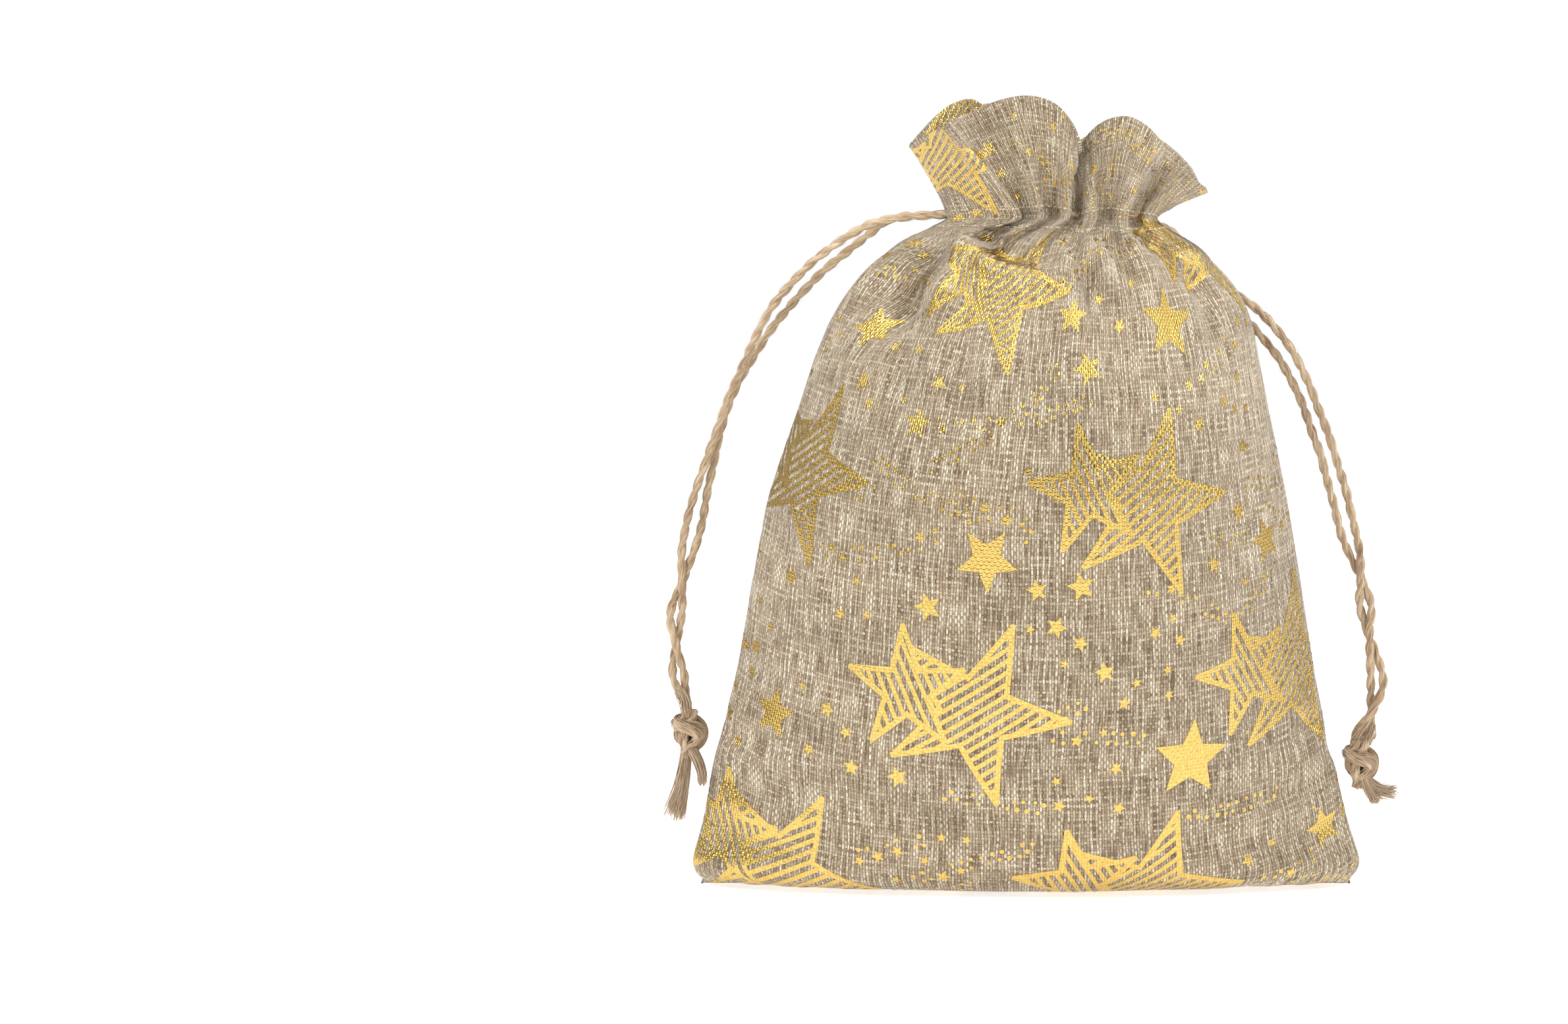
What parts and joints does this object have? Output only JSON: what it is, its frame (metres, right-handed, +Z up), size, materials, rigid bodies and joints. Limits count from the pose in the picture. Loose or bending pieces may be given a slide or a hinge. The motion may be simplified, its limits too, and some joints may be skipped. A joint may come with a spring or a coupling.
{
  "type": "drawstring gift sack",
  "caption": "Small standing cloth gift sack with a filled body, a gathered neck, a ruffled header and twisted cord drawstrings knotted at both sides.",
  "frame": {"origin": "middle of the flat base that the sack stands on", "axes": "+Z up from the base to the ruffle, +X to the right along the width, front towards -Y"},
  "size_m": [0.1682, 0.073, 0.178],
  "materials": {
    "linen": "slubby imitation linen, plain weave, matt",
    "foil": "gold foil print, broken up by the weave",
    "jute": "twisted jute cord with loose fibres",
    "thread": "sewing thread"
  },
  "bodies": {
    "sack": {"front_panel": "linen", "back_panel": "linen", "left_side_seam": "linen", "right_side_seam": "linen", "bottom_seam": "linen", "front_casing": "linen", "back_casing": "linen", "front_stitching": "thread", "back_stitching": "thread", "front_ruffle": "linen", "back_ruffle": "linen"},
    "left_drawstring": {"left_cord_in_casing": "jute"},
    "left_tails": {"left_front_strand": "jute", "left_back_strand": "jute", "left_knot": "jute", "left_frayed_ends": "jute"},
    "right_drawstring": {"right_cord_in_casing": "jute"},
    "right_tails": {"right_front_strand": "jute", "right_back_strand": "jute", "right_knot": "jute", "right_frayed_ends": "jute"}
  },
  "joints": [
    {"name": "left_pull", "type": "slide", "parent": "sack", "child": "left_drawstring", "axis": [-1, 0, 0], "range_m": [0, 0.01]},
    {"name": "left_swing", "type": "hinge", "parent": "left_drawstring", "child": "left_tails", "pos_m": [-0.0305, 0, 0.151], "axis": [1, 0, 0], "range_deg": [-60, 60]},
    {"name": "right_pull", "type": "slide", "parent": "sack", "child": "right_drawstring", "axis": [1, 0, 0], "range_m": [0, 0.01]},
    {"name": "right_swing", "type": "hinge", "parent": "right_drawstring", "child": "right_tails", "pos_m": [0.0373, 0.0109, 0.1414], "axis": [1, 0, 0], "range_deg": [0, 60]}
  ]
}
